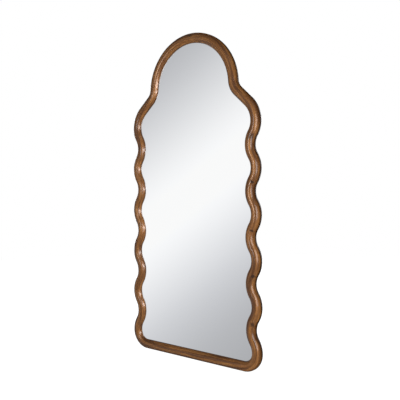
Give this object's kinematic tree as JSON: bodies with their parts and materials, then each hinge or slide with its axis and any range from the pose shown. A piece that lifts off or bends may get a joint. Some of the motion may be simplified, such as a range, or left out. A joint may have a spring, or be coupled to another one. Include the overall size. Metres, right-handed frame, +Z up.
{
  "type": "arched mirror",
  "caption": "Full-length wall mirror with a round arched top, sloping shoulders and waved sides in a half-round brown wooden frame, hung by two turning rings.",
  "frame": {"origin": "on the wall plane that the bumpers touch, midway between the pivots of the two hanging rings", "axes": "+X to the viewer's right, +Y into the wall, +Z up; the mirror faces -Y"},
  "size_m": [0.914, 0.046, 1.829],
  "materials": {
    "stained_wood": "brown stain under satin lacquer",
    "dowel_wood": "bare fluted beech",
    "silvered_glass": "polished, silvered at the back",
    "block_rubber": "matte",
    "foam_tape": "closed-cell foam",
    "board": "bare fibreboard",
    "screw_steel": "yellow zinc",
    "zinc_steel": "zinc plated",
    "ring_steel": "nickel plated wire",
    "bumper_rubber": "matte"
  },
  "bodies": {
    "mirror": {"bottom_rail": "stained_wood", "corner_left": "stained_wood", "corner_right": "stained_wood", "wave_1_left": "stained_wood", "wave_1_right": "stained_wood", "wave_2_left": "stained_wood", "wave_2_right": "stained_wood", "wave_3_left": "stained_wood", "wave_3_right": "stained_wood", "wave_4_left": "stained_wood", "wave_4_right": "stained_wood", "shoulder_left": "stained_wood", "shoulder_right": "stained_wood", "arch_left": "stained_wood", "arch_right": "stained_wood", "arch_crown": "stained_wood", "joint_dowels": "dowel_wood", "mirror_glass": "silvered_glass", "setting_blocks": "block_rubber", "bonding_tape": "foam_tape", "backing_board": "board", "board_screws": "screw_steel", "hanger_strap_left": "zinc_steel", "hanger_strap_right": "zinc_steel", "hanger_screws": "screw_steel", "wall_bumpers": "bumper_rubber"},
    "left_ring": {"hanger_ring_left": "ring_steel"},
    "right_ring": {"hanger_ring_right": "ring_steel"}
  },
  "joints": [
    {"name": "left_ring_swing", "type": "hinge", "parent": "mirror", "child": "left_ring", "pos_m": [-0.4315, -0.0044, 0], "axis": [1, 0, 0], "range_deg": [0, 173]},
    {"name": "right_ring_swing", "type": "hinge", "parent": "mirror", "child": "right_ring", "pos_m": [0.4315, -0.0044, 0], "axis": [1, 0, 0], "range_deg": [0, 173]}
  ]
}
